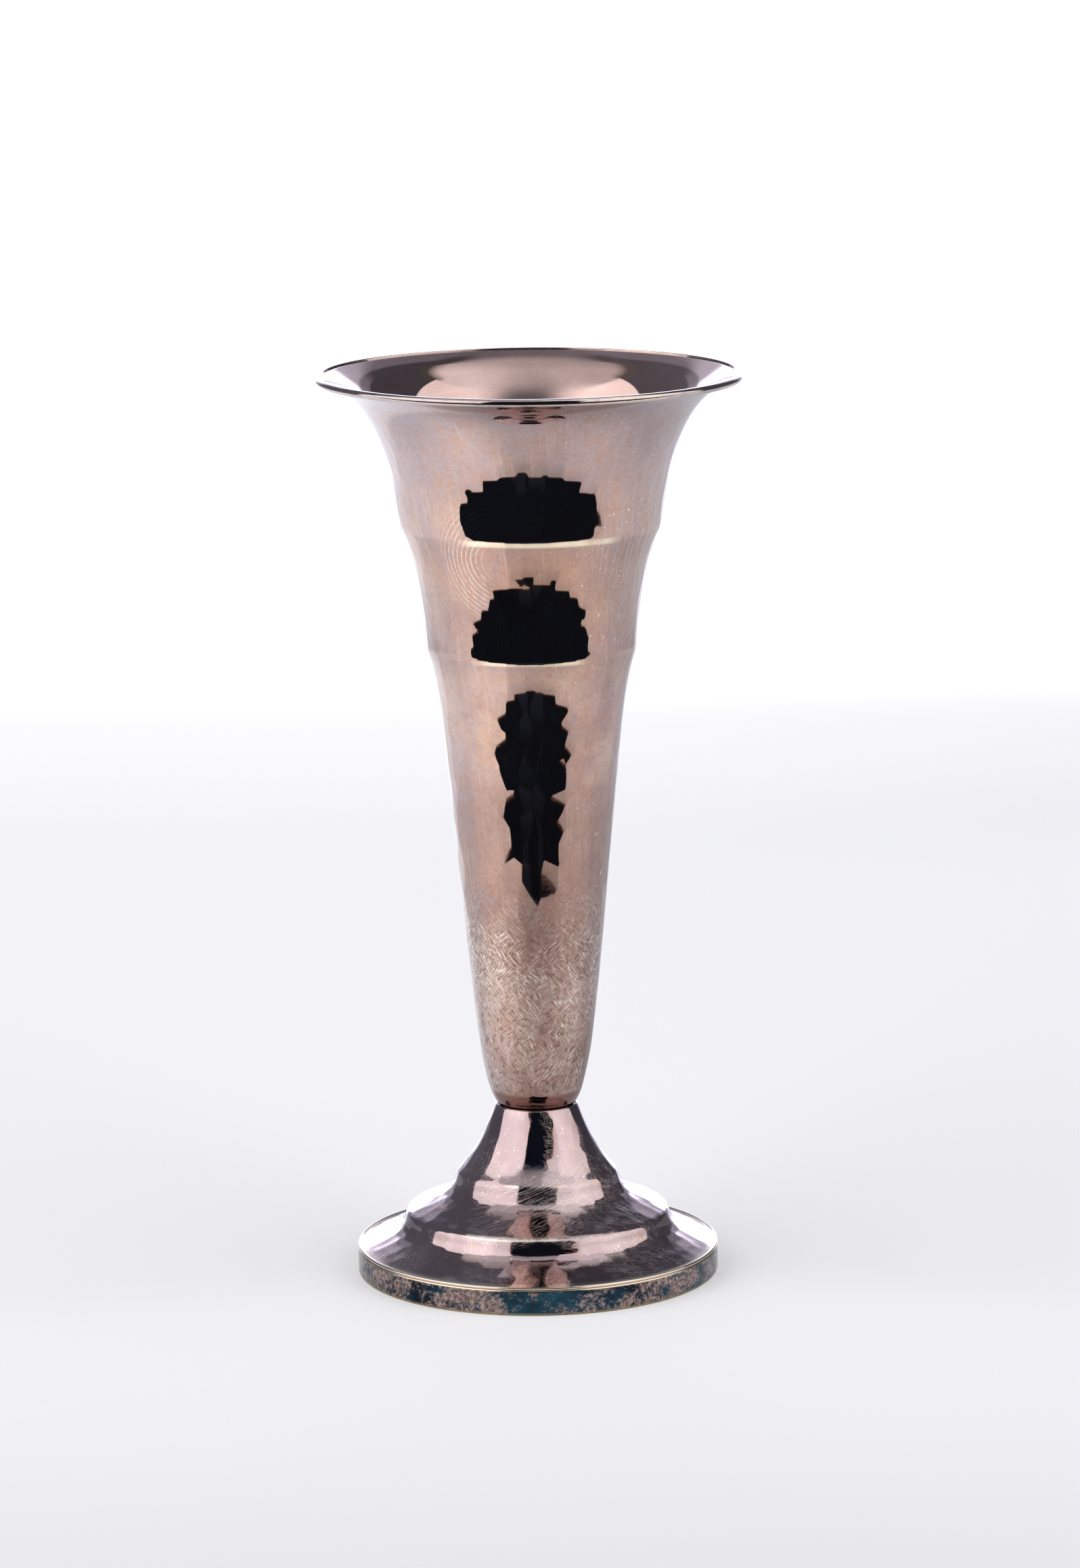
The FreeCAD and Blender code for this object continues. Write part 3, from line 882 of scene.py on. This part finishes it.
def build_floor():
    """The table, a little polished. It has one look for the camera and one for metal, which also sees it end
    at a front edge."""
    half = FLOOR_HALF_SIZE
    corners = np.array([(-half, -half, 0), (half, -half, 0), (half, half, 0), (-half, half, 0)], float)
    floor = make_mesh("studio_floor", corners, np.array([[0, 1, 2, 3]]))
    mat, n = material("studio_floor")
    geo = n.add("ShaderNodeNewGeometry")
    x, y, _ = n.split(geo.outputs["Position"])
    sideways = n.math("ABSOLUTE", x)
    path = n.add("ShaderNodeLightPath")
    camera_sees = path.outputs["Is Camera Ray"]
    metal_sees = path.outputs["Is Glossy Ray"]
    # the table's front is nearer to the vase at its sides
    from_edge = n.less(y, n.ramp(sideways, 0.05, 0.40, to=(TABLE_EDGE, TABLE_SIDE_EDGE)))
    on_table = n.ramp(from_edge, -EDGE_SOFTNESS, EDGE_SOFTNESS)
    # past it is the dark, with a lit strip along the edge and two faint bars
    edge_strip = n.window(from_edge, -EDGE_STRIP, 0.0, 0.0010)
    bars = n.product(n.total(n.window(x, -0.068, -0.014, 0.004), n.window(x, 0.014, 0.048, 0.004)),
                     n.ramp(y, -0.29, -0.21, to=(0.0, 0.028)))
    past_edge = n.product(n.inverse(on_table), n.total(bars, n.product(edge_strip, 0.10), GAP_LEVEL))
    tint = n.mix(n.ramp(y, -0.12, 0.12), TABLE_WARM, TABLE_COOL)
    tint = n.mix(on_table, DARK_BLUE, tint)
    tint = n.mix(edge_strip, tint, EDGE_ORANGE)
    in_metal = n.total(n.product(table_in_metal(n, x, y, sideways), on_table), past_edge)
    strength = n.total(n.product(camera_sees, table_backdrop(n, x, y)), n.product(metal_sees, in_metal))
    # the table's own colour, which metal sees at half strength, and not at all past the edge
    own = n.most(n.inverse(metal_sees), n.product(on_table, 0.5))
    diffuse = n.wire("ShaderNodeBsdfDiffuse", Color=n.mix(own, BLACK, TABLE_COLOUR))
    glow = n.wire("ShaderNodeEmission", Color=n.mix(metal_sees, WHITE, tint), Strength=strength)
    both = n.add("ShaderNodeAddShader")
    n.set(both.inputs[0], diffuse.outputs[0])
    n.set(both.inputs[1], glow.outputs[0])
    # at a low angle the polished table mirrors the room in the metal
    facing = n.add("ShaderNodeLayerWeight").outputs["Facing"]
    mirror = n.wire("ShaderNodeBsdfAnisotropic", Roughness=MIRROR_ROUGHNESS)
    mirror_share = n.product(metal_sees, on_table, n.ramp(facing, 0.72, 0.92, to=(0.0, 0.85)))
    polished = n.mix_shader(mirror_share, both.outputs[0], mirror.outputs[0])
    # from below it is clear
    clear = n.add("ShaderNodeBsdfTransparent")
    surface = n.mix_shader(geo.outputs["Backfacing"], polished, clear.outputs[0])
    n.wire("ShaderNodeOutputMaterial", Surface=surface)
    mat.cycles.emission_sampling = "NONE"
    floor.data.materials.append(mat)


def build_world():
    """White to the camera. All else sees a room: a ceiling, and soft panels left and right with a dark gap
    between them in front."""
    world = bpy.data.worlds.new("studio")
    bpy.context.scene.world = world
    world.use_nodes = True
    n = Nodes(world.node_tree)
    x, y, z = n.split(n.add("ShaderNodeTexCoord").outputs["Generated"])

    def by_side(left, right):
        return n.ramp(x, -0.1, 0.1, to=(left, right))

    # degrees from straight in front, to either side, and degrees up
    turn = n.math("ABSOLUTE", n.math("DEGREES", n.math("ARCTAN2", x, n.math("MULTIPLY", y, -1.0))))
    height = n.math("DEGREES", n.math("ARCSINE", z))
    inner = n.total(by_side(25.0, 27.3), n.product(by_side(0.0, 1.0), n.window(height, 19.0, 47.0, 3.0, 4.5)))
    outer = by_side(103.0, 105.5)
    from_inner = n.less(turn, inner)
    past_inner = n.ramp(from_inner, -0.6, 0.6)
    before_outer = n.ramp(n.less(outer, turn), -1.0, 1.0)
    panel = n.product(past_inner, before_outer, n.ramp(height, -2.0, 1.0), n.ramp(height, 57.5, 54.5))
    not_panel = n.inverse(panel)
    panel_level = n.product(by_side(1.95, 1.55), n.ramp(height, 5.0, 20.0, to=(0.74, 1.0)),
                            n.ramp(turn, 25.0, 50.0, to=(0.76, 1.0)),
                            n.ramp(turn, 62.0, 104.0, to=(1.0, 0.86)))
    # the ceiling, lower to the sides than in front or behind
    ceiling_from = n.total(n.ramp(turn, 24.0, 32.0, to=(57.0, 53.0)),
                           n.ramp(turn, 144.0, 165.0, to=(0.0, 10.0)))
    above = n.less(height, ceiling_from)
    ceiling_level = n.total(n.ramp(turn, 18.0, 50.0, to=(0.60, 0.95)),
                            n.ramp(x, -0.4, 0.4, to=(-0.12, 0.25)))
    ceiling_level = n.product(ceiling_level, n.ramp(turn, 112.0, 150.0, to=(1.0, 0.68)))
    # its lower edge is crisp over the panels, soft behind them and softest over the gap
    fades_in = n.mix(n.window(turn, 100.0, 156.0, 5.0), n.ramp(above, -1.5, 1.5), n.ramp(above, 1.0, 9.0))
    fades_in = n.mix(n.ramp(turn, 25.0, 20.0), fades_in, n.ramp(above, -6.5, 9.0))
    ceiling = n.product(fades_in, ceiling_level, n.ramp(height, 70.0, 88.0, to=(1.0, 0.85)))
    # behind the vase it is bright low down
    near_back = n.total(n.ramp(height, 24.0, 13.0, to=(0.0, 0.26)),
                        n.ramp(height, 34.0, 26.0, to=(0.0, 0.20)))
    near_back = n.product(n.ramp(turn, 148.5, 151.5), near_back)
    full_back = n.total(n.ramp(height, 20.0, 15.0, to=(0.0, 1.85)),
                        n.ramp(height, 34.0, 24.0, to=(0.16, 0.42)))
    full_back = n.product(n.ramp(turn, 157.0, 161.0), full_back, n.ramp(height, 54.0, 48.0))
    room = n.product(n.ramp(turn, 28.0, 100.0), by_side(0.175, 0.10))
    gap = n.ramp(turn, 26.0, 24.0, to=(0.0, GAP_LEVEL))
    rest = n.most(ceiling, n.total(near_back, full_back, room, gap))
    level = n.total(n.product(panel, panel_level), n.product(not_panel, rest))
    # the panels' inner edges are warm, the gap, the room and the low back are bluish
    warm = n.product(past_inner, n.ramp(from_inner, 1.4, 0.8), n.window(height, 2.0, 53.0, 1.5))
    cool = n.product(not_panel, n.ramp(above, 1.0, -1.0))
    tint = n.mix(cool, PANEL_WHITE, n.mix(n.ramp(turn, 60.0, 100.0), DARK_BLUE, ROOM_BLUE))
    tint = n.mix(n.ramp(above, -1.0, 1.0), tint, CEILING_WHITE)
    tint = n.mix(warm, tint, PANEL_EDGE_ORANGE)
    camera_sees = n.add("ShaderNodeLightPath").outputs["Is Camera Ray"]
    strength = n.total(n.product(level, n.inverse(camera_sees)), camera_sees)
    background = n.wire("ShaderNodeBackground", Color=n.mix(camera_sees, tint, WHITE), Strength=strength)
    n.wire("ShaderNodeOutputWorld", Surface=background.outputs[0])


build_floor()
build_world()

# Camera: a little to the right, looking down, with the slight lean of the photograph

camera = bpy.data.objects.new("camera", bpy.data.cameras.new("camera"))
bpy.context.scene.collection.objects.link(camera)
camera.data.lens = CAMERA_LENS
camera.data.sensor_width = SENSOR_WIDTH
camera.data.clip_start = CLIP_START
camera.data.clip_end = CLIP_END
camera.location = CAMERA_PLACE
aim = Matrix.Rotation(math.pi / 2 - LOOK_DOWN, 4, "X") @ Matrix.Rotation(-math.radians(LEAN_DEGREES), 4, "Z")
camera.rotation_euler = aim.to_euler()
bpy.context.scene.camera = camera
bpy.context.scene.view_settings.view_transform = "Standard"
